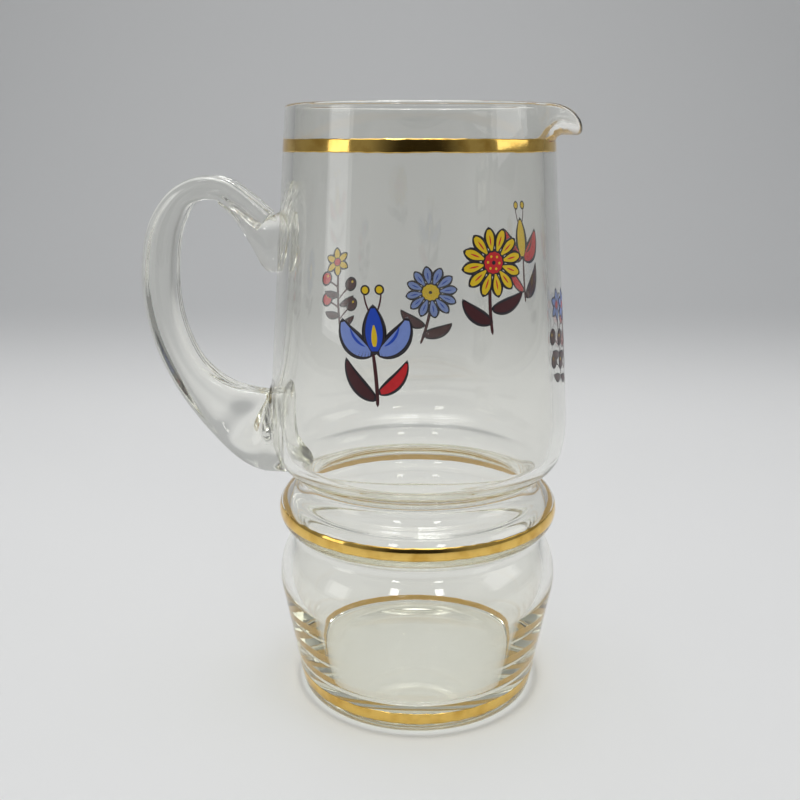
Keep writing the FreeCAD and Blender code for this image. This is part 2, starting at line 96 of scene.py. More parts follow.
def jugWall(grown, top, base, fine=1.0):
    # flank, belly, corner, groove, ring, groove, bowl and bowl flank as tangent arcs, from rim to foot
    belly = np.array([jug["bellyRadius"] - jug["bellyRound"], jug["bellyHeight"]])
    collar = np.array([jug["collarRadius"] - jug["collarRound"], jug["collarHeight"]])
    bowl = np.array([jug["bowlRadius"] - jug["bowlRound"], jug["bowlHeight"]])
    out = {k: jug[k + "Round"] + grown for k in ("belly", "corner", "collar", "bowl")}
    dip = {k: jug[k + "Round"] - grown for k in ("waist", "neck")}
    drop = jug["cornerHeight"] - belly[1]
    corner = belly + np.array([math.sqrt((out["belly"] - out["corner"]) ** 2 - drop ** 2), drop])
    waist = touching(corner, out["corner"] + dip["waist"], collar, out["collar"] + dip["waist"])
    neck = touching(collar, out["collar"] + dip["neck"], bowl, out["bowl"] + dip["neck"])
    top = np.array(top, float)
    base = np.array(base, float)
    ends = [
        tangentFrom(top, belly, out["belly"], -1),
        belly + unit(corner - belly) * out["belly"],
        corner + unit(waist - corner) * out["corner"],
        collar + unit(waist - collar) * out["collar"],
        collar + unit(neck - collar) * out["collar"],
        bowl + unit(neck - bowl) * out["bowl"],
        tangentFrom(base, bowl, out["bowl"], 1),
    ]
    arcs = [(belly, out["belly"], 10), (corner, out["corner"], 22), (waist, dip["waist"], 24),
            (collar, out["collar"], 32), (neck, dip["neck"], 22), (bowl, out["bowl"], 30)]
    runs = [top + (ends[0] - top) * np.linspace(0, 1, int(60 * fine))[:, None]]
    for (centre, radius, count), a, b in zip(arcs, ends, ends[1:]):
        runs.append(arcPoints(centre, radius, a, b, int(count * fine))[1:])
    runs.append((ends[-1] + (base - ends[-1]) * np.linspace(0, 1, int(24 * fine))[:, None])[1:])
    return np.concatenate(runs)


outerLine = jugWall(0.0, (jug["rimRadius"], jug["height"]), (jug["footRadius"], 0.0), 4.0)


def wallRadius(z):
    # outside radius of the glass at a height
    return np.interp(z, outerLine[::-1, 1], outerLine[::-1, 0])


def roundCorner(before, corner, after, radius, count):
    # fillet between two straight runs that meet at a corner
    a, b = unit(before - corner), unit(after - corner)
    half = math.acos(np.clip(a @ b, -1, 1)) / 2
    centre = corner + unit(a + b) * radius / math.sin(half)
    start = corner + a * radius / math.tan(half)
    end = corner + b * radius / math.tan(half)
    return arcPoints(centre, radius, start, end, count)


def weldShell(shell):
    # all the points of a pole, a seam or a meeting edge become one
    bmesh.ops.remove_doubles(shell, verts=shell.verts, dist=weldGap)
    bmesh.ops.dissolve_degenerate(shell, edges=shell.edges, dist=deadEdge)


def makeMesh(name, points, faces, weld=False):
    mesh = bpy.data.meshes.new(name)
    mesh.from_pydata(points.tolist(), [], faces)
    shell = bmesh.new()
    shell.from_mesh(mesh)
    if weld:
        weldShell(shell)
    if shell.calc_volume(signed=True) < 0:  # a shell that came out inside out
        bmesh.ops.reverse_faces(shell, faces=shell.faces)
    shell.to_mesh(mesh)
    shell.free()
    mesh.polygons.foreach_set("use_smooth", np.ones(len(mesh.polygons), bool))
    mesh.update()
    piece = bpy.data.objects.new(name, mesh)
    scene.collection.objects.link(piece)
    return piece


def sealSkin(piece):
    # welded last, so that every face keeps the colour it was given
    shell = bmesh.new()
    shell.from_mesh(piece.data)
    weldShell(shell)
    shell.to_mesh(piece.data)
    shell.free()
    piece.data.update()


def gridFaces(rows, columns, closeRows=False, closeColumns=False, first=0):
    # quads of a grid of points, row by row; either way round may be closed
    i = np.arange(rows if closeRows else rows - 1)[:, None]
    j = np.arange(columns if closeColumns else columns - 1)[None]
    i2, j2 = (i + 1) % rows, (j + 1) % columns
    corners = i * columns + j, i * columns + j2, i2 * columns + j2, i2 * columns + j
    quads = np.stack(np.broadcast_arrays(*corners), -1)
    return (quads.reshape(-1, 4) + first).tolist()


def settle(piece, material, node):
    for m in material if isinstance(material, list) else [material]:
        piece.data.materials.append(m)
    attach(piece, "root")
    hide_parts(node)
    return piece


def nodeKit(name):
    # a new material, its Principled shader, and short ways to add and join nodes
    material = bpy.data.materials.new(name)
    material.use_nodes = True
    tree = material.node_tree
    shader = tree.nodes["Principled BSDF"]

    def add(kind, **settings):
        node = tree.nodes.new(kind)
        for key, value in settings.items():
            if key in node.inputs:
                node.inputs[key].default_value = value
            else:
                setattr(node, key, value)
        return node

    def join(a, b):
        tree.links.new(a, b)

    return material, shader, add, join


# Clear glass: slow swell of blown glass as a bump, lamps shine through it, and long ways in it turn olive
glassLook = {
    "ior": 1.5, "tint": (0.985, 0.984, 0.962, 1.0), "through": (0.985, 0.988, 0.98, 1.0),
    "swell": 26.0, "swellDetail": 1.5, "swellStretch": (1.0, 1.0, 0.25), "swellShare": 0.35,
    "swellDepth": 0.00025, "depth": (0.85, 0.855, 0.735, 1.0), "depthRate": 12.0,
}


def clearGlass():
    material, shader, add, join = nodeKit("clearGlass")
    shader.inputs["Base Color"].default_value = glassLook["tint"]
    shader.inputs["Roughness"].default_value = 0.0
    shader.inputs["IOR"].default_value = glassLook["ior"]
    shader.inputs["Transmission Weight"].default_value = 1.0
    place = add("ShaderNodeTexCoord")
    stretch = add("ShaderNodeMapping", Scale=glassLook["swellStretch"])
    noise = add("ShaderNodeTexNoise", Scale=glassLook["swell"], Detail=glassLook["swellDetail"])
    bump = add("ShaderNodeBump", Strength=glassLook["swellShare"], Distance=glassLook["swellDepth"])
    join(place.outputs["Object"], stretch.inputs["Vector"])
    join(stretch.outputs["Vector"], noise.inputs["Vector"])
    join(noise.outputs["Fac"], bump.inputs["Height"])
    join(bump.outputs["Normal"], shader.inputs["Normal"])
    through = add("ShaderNodeBsdfTransparent", Color=glassLook["through"])
    path = add("ShaderNodeLightPath")
    either = add("ShaderNodeMath", operation="MAXIMUM")
    mix = add("ShaderNodeMixShader")
    join(path.outputs["Is Shadow Ray"], either.inputs[0])
    join(path.outputs["Is Diffuse Ray"], either.inputs[1])
    join(either.outputs["Value"], mix.inputs["Fac"])
    join(shader.outputs["BSDF"], mix.inputs[1])
    join(through.outputs["BSDF"], mix.inputs[2])
    depth = add("ShaderNodeVolumeAbsorption", Color=glassLook["depth"], Density=glassLook["depthRate"])
    result = material.node_tree.nodes["Material Output"]
    join(mix.outputs["Shader"], result.inputs["Surface"])
    join(depth.outputs["Volume"], result.inputs["Volume"])
    return material


# Fired gold: burnished face, duller and browner where it is seen through the glass
goldLook = {
    "face": (0.90, 0.60, 0.16, 1.0), "worn": (0.66, 0.38, 0.07, 1.0), "back": (0.80, 0.55, 0.20, 1.0),
    "cloud": 140.0, "wear": (0.45, 0.75), "faceRough": (0.04, 0.16), "rub": 900.0, "rubDepth": 0.00004,
    "stroke": 260.0, "backMetal": 0.1, "backRough": (0.3, 0.6),
}


def ranged(low, high, way="To"):
    return {way + " Min": low, way + " Max": high}


def giltFace():
    material, shader, add, join = nodeKit("giltFace")
    shader.inputs["Metallic"].default_value = 1.0
    place = add("ShaderNodeTexCoord")
    cloud = add("ShaderNodeTexNoise", Scale=goldLook["cloud"], Detail=4.0)
    rub = add("ShaderNodeTexNoise", Scale=goldLook["rub"], Detail=2.0)
    colour = add("ShaderNodeMix", data_type="RGBA")
    colour.inputs[6].default_value = goldLook["face"]
    colour.inputs[7].default_value = goldLook["worn"]
    share = add("ShaderNodeMapRange", **ranged(*goldLook["wear"], "From"))
    rough = add("ShaderNodeMapRange", **ranged(*goldLook["faceRough"]))
    bump = add("ShaderNodeBump", Strength=0.15, Distance=goldLook["rubDepth"])
    for texture in (cloud, rub):
        join(place.outputs["Object"], texture.inputs["Vector"])
    join(cloud.outputs["Fac"], share.inputs["Value"])
    join(share.outputs["Result"], colour.inputs[0])
    join(colour.outputs[2], shader.inputs["Base Color"])
    join(cloud.outputs["Fac"], rough.inputs["Value"])
    join(rough.outputs["Result"], shader.inputs["Roughness"])
    join(rub.outputs["Fac"], bump.inputs["Height"])
    join(bump.outputs["Normal"], shader.inputs["Normal"])
    return material


def giltBack():
    material, shader, add, join = nodeKit("giltBack")
    shader.inputs["Metallic"].default_value = goldLook["backMetal"]
    place = add("ShaderNodeTexCoord")
    stroke = add("ShaderNodeTexNoise", Scale=goldLook["stroke"], Detail=3.0)
    colour = add("ShaderNodeMix", data_type="RGBA")
    colour.inputs[6].default_value = goldLook["back"]
    colour.inputs[7].default_value = goldLook["worn"]
    rough = add("ShaderNodeMapRange", **ranged(*goldLook["backRough"]))
    join(place.outputs["Object"], stroke.inputs["Vector"])
    join(stroke.outputs["Fac"], colour.inputs[0])
    join(colour.outputs[2], shader.inputs["Base Color"])
    join(stroke.outputs["Fac"], rough.inputs["Value"])
    join(rough.outputs["Result"], shader.inputs["Roughness"])
    return material


glass = clearGlass()
gold = [giltFace(), giltBack()]


# Glass body: one closed profile turned about the axis, with the lip pulled out of its rim
def glassProfile():
    height, foot = jug["height"], jug["footRadius"]
    rimIn = jug["rimRadius"] - jug["rimWall"]
    outer = jugWall(0.0, (jug["rimRadius"], height), (foot, 0.0))
    inner = jugWall(-jug["wall"], (rimIn, height), (jug["floorRadius"], jug["floorHeight"]))
    topOut, topIn = outer[0], inner[0]
    middle = (topOut + topIn) / 2
    rimOuter = roundCorner(middle, topOut, outer[1] + (outer[1] - topOut) * 4, jug["rimRound"], 8)
    rimInner = roundCorner(inner[1] + (inner[1] - topIn) * 4, topIn, middle, jug["rimRound"], 8)
    footCorner = roundCorner(outer[-9], outer[-1], np.array([0.0, 0.0]), jug["footRound"], 8)
    ball = (jug["kickRadius"] ** 2 + jug["kickHeight"] ** 2) / (2 * jug["kickHeight"])
    r = np.linspace(jug["kickRadius"], 0.0, 24)
    kick = np.stack([r, jug["kickHeight"] - ball + np.sqrt(ball ** 2 - r ** 2)], -1)
    floorMiddle = np.array([0.0, jug["floorHeight"]])
    floorCorner = roundCorner(floorMiddle, inner[-1], inner[-9], jug["floorRound"], 16)
    floorRun = np.stack([np.linspace(0.0, floorCorner[0, 0], 20)[:-1], np.full(19, jug["floorHeight"])], -1)
    outRun = outer[(outer[:, 1] < rimOuter[-1, 1] - 0.2) & (outer[:, 1] > footCorner[0, 1] + 0.2)]
    inRun = inner[::-1]
    inRun = inRun[(inRun[:, 1] > floorCorner[-1, 1] + 0.2) & (inRun[:, 1] < rimInner[0, 1] - 0.2)]
    outside = np.concatenate([rimOuter, outRun, footCorner, kick])
    inside = np.concatenate([floorRun, floorCorner, inRun, rimInner])
    return outside, inside


def pullLip(radius, z, around):
    # near +X the wall above the start turns outwards round a small bend and runs on straight; the angle of
    # the bend falls off smoothly to both sides, and a point keeps its distance from the wall's middle,
    # thinned towards the edge
    away = np.degrees(np.abs(np.arctan2(np.sin(around), np.cos(around))))
    share = (0.5 + 0.5 * np.cos(math.pi * np.clip(away / lip["spread"], 0, 1))) ** lip["narrow"]
    above = np.maximum(z - lip["start"], 0)
    total = jug["height"] - lip["start"]
    length = above * (1 + lip["stretch"] * share)
    angle = np.radians(lip["bend"]) * share
    turn = np.minimum(length / lip["bendRadius"], angle)
    ahead = length - lip["bendRadius"] * turn
    middle = wallRadius(z) - jug["rimWall"] / 2
    start = wallRadius(lip["start"]) - jug["rimWall"] / 2
    off = (radius - middle) * (1 - lip["thin"] * share * np.clip(above / total, 0, 1))
    side = off + (middle - start) * np.cos(turn)
    bentR = start + lip["bendRadius"] * (1 - np.cos(turn)) + ahead * np.sin(turn) + side * np.cos(turn)
    bentZ = lip["start"] + lip["bendRadius"] * np.sin(turn) + ahead * np.cos(turn) - side * np.sin(turn)
    return np.where(above > 0, bentR, radius), np.where(above > 0, bentZ, z)


def makeGlassBody():
    outside, inside = glassProfile()
    line = np.concatenate([inside, outside])
    around = np.arange(jug["turns"]) * 2 * math.pi / jug["turns"]
    a, r = np.meshgrid(around, line[:, 0], indexing="ij")
    z = np.broadcast_to(line[:, 1], r.shape)
    # the inside carries the slow upright ripples of blown glass
    wave = np.sin(5 * a + 0.6) + 0.6 * np.sin(11 * a + 2.1) + 0.4 * np.sin(17 * a + 4.0)
    rippled = (np.arange(len(line)) < len(inside)) & (line[:, 1] > jug["bellyHeight"] - 12)
    r = r + np.where(rippled[None], jug["ripple"] * wave, 0.0)
    r, z = pullLip(r, z, a)
    points = np.stack([r * np.cos(a), r * np.sin(a), z], -1).reshape(-1, 3) * mm
    body = makeMesh("glassBody", points, gridFaces(len(around), len(line), True, False), True)
    return settle(body, glass, "jug_body")


# Handle: an oblong bar of glass in two arcs, cut off at its upper end, where a thinner web joins it to the
# wall. The tip is x, z and lean, the low seat is height, thickness and width, and a pocket is size, drop and
# depth. Each section of the web has its lower and upper end (x, z) and its width, from the wall to the bar
handle = {
    "bowCentre": (-35.0, 180.0), "bowRadius": 74.0, "crestRadius": 18.0, "meeting": 156.4,
    "crestAngles": (45.0, 72.0, 100.0, 128.0), "bowAngles": (175.0, 194.0, 212.0, 227.0, 240.0),
    "width": 17.0, "crestThick": 9.8, "bowThick": 14.0, "seatThick": 38.0,
    "flareFrom": 194.0, "flareTo": 252.0, "swell": 9.5, "swellFrom": 205.0, "swellTo": 240.0,
    "tip": (-64.0, 206.9, 219.0), "lowSeat": (118.0, 42.0, 28.0),
    "sunk": 1.2, "around": 72, "steps": 14, "square": 4.6, "seatSquare": 2.6,
    "groove": 0.06, "grooveWidth": 0.38, "flatShare": 0.16,
    "webPocket": (0.4, 0.0, 0.0), "lowPocket": (0.5, -5.0, 4.0),
    "web": [
        ((-58.0, 185.7), (-57.0, 211.0), 15.0), ((-63.6, 186.2), (-61.4, 208.6), 12.5),
        ((-69.2, 195.6), (-66.4, 206.6), 12.0), ((-73.4, 203.4), (-70.4, 209.4), 11.5),
        ((-78.0, 209.8), (-75.6, 213.4), 11.0), ((-82.4, 213.6), (-81.4, 215.6), 9.0),
    ],
}


def handleStations():
    # x, z, lean in degrees, thickness, width and squareness of each section, from the cut end to the joint
    h = handle
    turn = math.radians(h["meeting"])
    bow = np.array(h["bowCentre"])
    crest = bow + (h["bowRadius"] - h["crestRadius"]) * np.array([math.cos(turn), math.sin(turn)])
    low = h["lowSeat"]
    bar = h["width"], h["square"]
    rows = [(*h["tip"], h["crestThick"], *bar)]
    for angle in (*h["crestAngles"], h["meeting"]):
        a = math.radians(angle)
        thick = h["crestThick"] + (h["bowThick"] - h["crestThick"]) * 0.5 * (angle == h["meeting"])
        centre = crest + h["crestRadius"] * np.array([math.cos(a), math.sin(a)])
        rows.append((*centre, 270 - angle, thick, *bar))
    for angle in h["bowAngles"]:
        # the bar thickens towards the wall, and a little more on its inner side
        a = math.radians(angle)
        share = max(0.0, (angle - h["flareFrom"]) / (h["flareTo"] - h["flareFrom"])) ** 2.5
        swell = h["swell"] * max(0.0, (angle - h["swellFrom"]) / (h["swellTo"] - h["swellFrom"])) ** 2
        thick = h["bowThick"] + (h["seatThick"] - h["bowThick"]) * share + swell
        centre = bow + (h["bowRadius"] - swell / 2) * np.array([math.cos(a), math.sin(a)])
        rows.append((*centre, 270 - angle, thick, *bar))
    rows.append((-wallRadius(low[0]), low[0], 0.0, low[1], low[2], h["seatSquare"]))
    return np.array(rows)


def webStations():
    low, high, width = (np.array(column) for column in zip(*handle["web"]))
    step = high - low
    lean = np.degrees(np.arctan2(-step[:, 0], -step[:, 1])) % 360
    square = np.linspace(handle["seatSquare"], handle["square"], len(width))
    return np.column_stack([(low + high) / 2, lean, np.hypot(*step.T), width, square])


def smoothRows(rows, steps):
    # cubic Hermite through the rows with chord-length spacing and averaged slopes
    t = np.r_[0, np.cumsum(np.hypot(*np.diff(rows[:, :2], axis=0).T))]
    slope = np.diff(rows, axis=0) / np.diff(t)[:, None]
    gap = np.diff(t)[:, None]
    inner = (slope[:-1] * gap[1:] + slope[1:] * gap[:-1]) / (gap[1:] + gap[:-1])
    m = np.concatenate([slope[:1], inner, slope[-1:]])
    x = np.linspace(0, t[-1], steps * (len(rows) - 1) + 1)
    k = np.clip(np.searchsorted(t, x, side="right") - 1, 0, len(rows) - 2)
    h = (t[k + 1] - t[k])[:, None]
    u = (x - t[k])[:, None] / h
    return ((2 * u ** 3 - 3 * u ** 2 + 1) * rows[k] + (u ** 3 - 2 * u ** 2 + u) * h * m[k]
            + (3 * u ** 2 - 2 * u ** 3) * rows[k + 1] + (u ** 3 - u ** 2) * h * m[k + 1])


def underWall(y, z):
    # a little under the surface of the glass, on the handle's side
    return -np.sqrt(np.maximum((wallRadius(z) - handle["sunk"]) ** 2 - y ** 2, 1.0))


def barRings(stations, groove):
    # section: |y/a|^n + |t/b|^n = 1, turned by the lean in the plane through the axis
    rows = smoothRows(stations, handle["steps"])
    turn = np.arange(handle["around"]) * 2 * math.pi / handle["around"]
    turn = turn - handle["flatShare"] * np.sin(4 * turn)  # more points on the flat faces
    power = 2 / rows[:, 5][:, None]
    across = np.sign(np.cos(turn)) * np.abs(np.cos(turn)) ** power
    through = np.sign(np.sin(turn)) * np.abs(np.sin(turn)) ** power
    lean = np.radians(rows[:, 2])[:, None]
    # a shallow groove runs along the middle of all four faces
    y = rows[:, 4][:, None] / 2 * across * (1 - groove * np.exp(-(through / handle["grooveWidth"]) ** 2))
    t = rows[:, 3][:, None] / 2 * through * (1 - groove * np.exp(-(across / handle["grooveWidth"]) ** 2))
    x = rows[:, 0][:, None] + np.sin(lean) * t
    z = rows[:, 1][:, None] + np.cos(lean) * t
    return np.stack([np.minimum(x, underWall(y, z)), y, z], -1)


def seatRings(end, size, drop, depth):
    # the end lies under the glass surface and may keep a pocket of air in its middle
    end[:, 0] = underWall(end[:, 1], end[:, 2])
    middle = end.mean(0) + np.array([0.0, 0.0, drop])
    share = np.r_[np.linspace(0, 1 - size, 3)[1:], 1 - size * np.linspace(1, 0, 9)[1:]][:, None]
    ring = end + (middle - end) * share[..., None]
    inward = np.clip((share - 1 + size) / size, 0, 1)
    ring[..., 0] = underWall(ring[..., 1], ring[..., 2]) - depth * np.sin(inward * math.pi / 2) ** 0.8
    return ring


def cutRings(end, before):
    # a flat end with a slightly rounded edge
    ahead = unit(end.mean(0) - before.mean(0))
    share = np.array([0.02, 0.06, 0.12, 0.6, 1.0])[:, None, None]
    out = np.array([0.25, 0.42, 0.5, 0.5, 0.5])[:, None, None]
    return end + (end.mean(0) - end) * share + ahead * out


def makeHandle():
    bar = barRings(handleStations(), handle["groove"])
    bar = np.concatenate([cutRings(bar[0], bar[1])[::-1], bar, seatRings(bar[-1], *handle["lowPocket"])])
    plate = barRings(webStations(), 0.0)
    root = seatRings(plate[0], *handle["webPocket"])[::-1]
    plate = np.concatenate([root, plate, cutRings(plate[-1], plate[-2])])
    faces = gridFaces(len(bar), handle["around"], False, True)
    faces += gridFaces(len(plate), handle["around"], False, True, bar.shape[0] * bar.shape[1])
    piece = makeMesh("glassHandle", np.concatenate([bar, plate]).reshape(-1, 3) * mm, faces, True)
    return settle(piece, glass, "jug_handle")


# Gilt bands: a film on the outside of the glass, its edges laid on with a brush
bands = {
    "rim": {"low": 234.8, "high": 239.7, "node": "rim_gilt_band"},
    "collar": {"low": 81.3, "high": 86.7, "node": "collar_gilt_band"},
    "foot": {"low": 4.1, "high": 9.6, "node": "foot_gilt_band"},
}
film = {
    "under": 0.04, "over": 0.07, "edgeFall": 0.3, "turns": 720, "rows": 14,
    "waver": 0.3, "waves": 10, "waveCounts": (2, 60),
}


def makeBand(place, band, seed):
    # z between two wavering edges, radius of the wall plus a film that thins out at both edges
    rng = np.random.default_rng(seed)
    around = np.arange(film["turns"]) * 2 * math.pi / film["turns"]
    waves = rng.integers(*film["waveCounts"], film["waves"])
    phases = rng.uniform(0, 6.28, (2, film["waves"]))
    edge = np.sin(around[None, :, None] * waves + phases[:, None]).mean(-1) * film["waver"]
    low = band["low"] + edge[0]
    high = band["high"] + edge[1]
    v = np.linspace(0, 1, film["rows"])
    v = np.concatenate([v, v[-2:0:-1]])
    side = np.r_[np.ones(film["rows"]), -np.ones(film["rows"] - 2)]
    z = low[:, None] + (high - low)[:, None] * v[None]
    bulge = np.clip(4 * v * (1 - v), 0, 1) ** film["edgeFall"]
    lift = np.where(side > 0, film["over"] * bulge, -film["under"] * bulge)
    a = np.broadcast_to(around[:, None], z.shape)
    r, z = pullLip(wallRadius(z) + lift[None], z, a)
    points = np.stack([r * np.cos(a), r * np.sin(a), z], -1).reshape(-1, 3) * mm
    piece = makeMesh(place + "Gilding", points, gridFaces(len(around), len(v), True, True))
    slots = np.tile(np.where(np.arange(len(v)) < film["rows"] - 1, 0, 1), len(around)).astype(np.int32)
    settle(piece, gold, band["node"])
    piece.data.polygons.foreach_set("material_index", slots)
    return piece


# Enamel: sprays of garden flowers printed on the glass, each colour a thin fired layer with a dark key line
enamelColours = {
    "keyLine": (0.012, 0.008, 0.014, 1.0), "paleBlue": (0.21, 0.30, 0.68, 1.0),
    "deepBlue": (0.012, 0.065, 0.50, 1.0), "yellow": (0.80, 0.55, 0.012, 1.0),
    "red": (0.62, 0.016, 0.022, 1.0), "maroon": (0.06, 0.007, 0.011, 1.0),
}
enamelOrder = list(enamelColours)
# each shape lies one step higher than the one before
enamelFilm = {"over": 0.035, "under": 0.02, "step": 0.002, "keyWidth": 0.45, "scale": 0.98}
enamelLook = {
    "cloud": 420.0, "grain": 2600.0, "grainDepth": 0.00003, "thin": 0.86, "full": 1.12, "rough": (0.22, 0.42),
}


def enamel(name):
    # fired print: a slightly uneven colour under a glossy face
    material, shader, add, join = nodeKit(name + "Enamel")
    base = np.array(enamelColours[name][:3])
    place = add("ShaderNodeTexCoord")
    cloud = add("ShaderNodeTexNoise", Scale=enamelLook["cloud"], Detail=5.0, Roughness=0.65)
    grain = add("ShaderNodeTexNoise", Scale=enamelLook["grain"], Detail=2.0)
    colour = add("ShaderNodeMix", data_type="RGBA")
    colour.inputs[6].default_value = (*(base * enamelLook["thin"]), 1.0)
    colour.inputs[7].default_value = (*np.clip(base * enamelLook["full"] + 0.004, 0, 1), 1.0)
    rough = add("ShaderNodeMapRange", **ranged(*enamelLook["rough"]))
    bump = add("ShaderNodeBump", Strength=0.2, Distance=enamelLook["grainDepth"])
    for texture in (cloud, grain):
        join(place.outputs["Object"], texture.inputs["Vector"])
    join(cloud.outputs["Fac"], colour.inputs[0])
    join(colour.outputs[2], shader.inputs["Base Color"])
    join(cloud.outputs["Fac"], rough.inputs["Value"])
    join(rough.outputs["Result"], shader.inputs["Roughness"])
    join(grain.outputs["Fac"], bump.inputs["Height"])
    join(bump.outputs["Normal"], shader.inputs["Normal"])
    return material


def leafGrid(root, heading, length, width, bend=0.0, fat=0.5, grow=0.0, blunt=0.75):
    # a curved middle line and a half width that swells and closes: sin(pi t^q)^blunt, with q set by where
    # it is fattest
    t = np.linspace(0, 1, 19)
    turn = math.radians(heading) + math.radians(bend) * (t - 0.5)
    step = length / (len(t) - 1)
    path = [np.cumsum(np.r_[0, wave(turn[1:])]) for wave in (np.cos, np.sin)]
    mid = np.array(root) + np.stack(path, -1) * step
    ahead = np.stack([np.cos(turn), np.sin(turn)], -1)
    mid = mid + ahead * ((2 * t - 1) * grow * 1.3)[:, None]
    q = math.log(0.5) / math.log(fat)
    half = (width / 2 + grow) * np.sin(math.pi * np.clip(t, 0, 1) ** q) ** blunt
    across = np.stack([-ahead[:, 1], ahead[:, 0]], -1)
    return mid[:, None] + across[:, None] * (half[:, None] * np.linspace(-1, 1, 9))[..., None]


def discGrid(centre, radius, lobes=0, depth=0.0, grow=0.0):
    # rings round a centre, the edge waved by the number of lobes
    a = np.linspace(0, 2 * math.pi, 65)
    edge = (radius + grow) * (1 - depth + depth * np.abs(np.cos(lobes * a / 2)) ** 0.7)
    out = np.stack([np.cos(a), np.sin(a)], -1) * edge[:, None]
    return np.array(centre) + out[None] * np.linspace(0, 1, 8)[:, None, None]


def printShape(spray, grid, colour, disc=False):
    # one closed skin: a face above the glass and one below it that meet along the shape's edge
    order = len(spray["colours"])
    rows, columns = grid.shape[:2]
    inner = np.zeros((rows, columns))
    inner[(slice(0, -1), slice(None)) if disc else (slice(1, -1), slice(1, -1))] = 1
    lean = math.radians(spray["lean"])
    u = (grid[..., 0] * math.cos(lean) - grid[..., 1] * math.sin(lean)) * spray["scale"]
    z = spray["height"] + (grid[..., 0] * math.sin(lean) + grid[..., 1] * math.cos(lean)) * spray["scale"]
    around = math.radians(spray["azimuth"]) + u / wallRadius(spray["height"])
    count = sum(len(points) for points in spray["points"])
    raised = enamelFilm["step"] * order
    for lift in (enamelFilm["over"] + raised, -enamelFilm["under"] - raised):
        r = wallRadius(z) + lift * inner
        spray["points"].append(np.stack([r * np.cos(around), r * np.sin(around), z], -1).reshape(-1, 3))
        quads = np.array(gridFaces(rows, columns, first=count))
        spray["faces"] += (quads if lift > 0 else quads[:, ::-1]).tolist()
        count += rows * columns
    spray["colours"].append(np.full(2 * (rows - 1) * (columns - 1), enamelOrder.index(colour), np.int32))


def printLeaf(spray, colour, *place, keyed=True, **shape):
    if keyed:
        printShape(spray, leafGrid(*place, grow=enamelFilm["keyWidth"], **shape), "keyLine")
    printShape(spray, leafGrid(*place, **shape), colour)


def printStem(spray, *place):
    printShape(spray, leafGrid(*place, fat=0.5, blunt=0.12), "maroon")


def printDisc(spray, colour, *place, keyed=True, **shape):
    if keyed:
        printShape(spray, discGrid(*place, grow=enamelFilm["keyWidth"], **shape), "keyLine", True)
    printShape(spray, discGrid(*place, **shape), colour, True)


enamelPaint = [enamel(name) for name in enamelOrder]


def drawTulip(spray):
    printStem(spray, (0.0, -20.0), 92, 21.0, 1.5, 8)
    printLeaf(spray, "maroon", (-0.4, -17.0), 128, 20.0, 5.6, bend=-52, fat=0.42)
    printLeaf(spray, "red", (0.6, -14.5), 44, 17.0, 5.0, bend=56, fat=0.42)
    for side in (-1, 1):
        printStem(spray, (side * 1.0, 15.0), 90 - side * 18, 8.5, 0.7, side * 26)
        printDisc(spray, "yellow", (side * 2.9, 24.2), 1.5)
    for side in (-1, 1):
        printLeaf(spray, spray["petal"], (side * 0.8, 0.6), 90 - side * 46, 19.0, 8.6,
                  bend=side * 74, fat=0.46)
        printLeaf(spray, spray["vein"], (side * 3.4, 3.0), 90 - side * 42, 10.5, 1.5,
                  bend=side * 60, keyed=False)
    printLeaf(spray, spray["heart"], (0.0, 0.4), 90, 18.0, 9.0, fat=0.45)
    printLeaf(spray, "yellow", (0.0, 2.6), 90, 9.0, 3.0, fat=0.4, keyed=False)


def drawDaisy(spray):
    printStem(spray, (2.0, -27.0), 98, 22.0, 1.4, -14)
    printLeaf(spray, "maroon", (1.2, -22.0), 150, 15.0, 5.2, bend=-50, fat=0.42)
    printLeaf(spray, "maroon", (1.0, -17.0), 24, 15.5, 5.2, bend=52, fat=0.42)
    for angle in range(15, 375, 30):
        root = 3.4 * math.cos(math.radians(angle)), 3.4 * math.sin(math.radians(angle))
        printLeaf(spray, spray["petal"], root, angle, 9.4, 4.3, fat=0.62)
        vein = 6.2 * math.cos(math.radians(angle)), 6.2 * math.sin(math.radians(angle))
        printLeaf(spray, spray["vein"], vein, angle, 4.2, 0.8, keyed=False)
    printDisc(spray, spray["heart"], (0.0, 0.0), 4.7, lobes=12, depth=0.08)
    for angle in np.radians(range(0, 360, 60)):
        printDisc(spray, "yellow", (2.5 * math.cos(angle), 2.5 * math.sin(angle)), 0.55, keyed=False)
    printDisc(spray, "keyLine", (0.0, 0.0), 0.9, keyed=False)


def drawBerries(spray):
    printStem(spray, (0.0, -20.0), 90, 34.0, 1.2, 10)
    for step, (side, up) in enumerate([(-1, -13.0), (1, -8.0), (-1, -3.0), (1, 2.0)]):
        printStem(spray, (0.0, up), 90 - side * 52, 8.5, 0.8, side * -30)
        printLeaf(spray, "maroon", (side * 0.4, up - 3.0), 90 - side * 70, 8.5, 3.2,
                  bend=side * 40, fat=0.45)
        printDisc(spray, spray["petal"] if step % 2 else "maroon", (side * 7.2, up + 6.2), 3.1)
        printDisc(spray, spray["vein"], (side * 7.2 - 0.9, up + 7.2), 0.7, keyed=False)
    for angle in range(30, 390, 60):
        printLeaf(spray, spray["heart"], (0.4, 15.0), angle, 6.6, 3.6, fat=0.55)
    printDisc(spray, spray["petal"], (0.4, 15.0), 1.9)


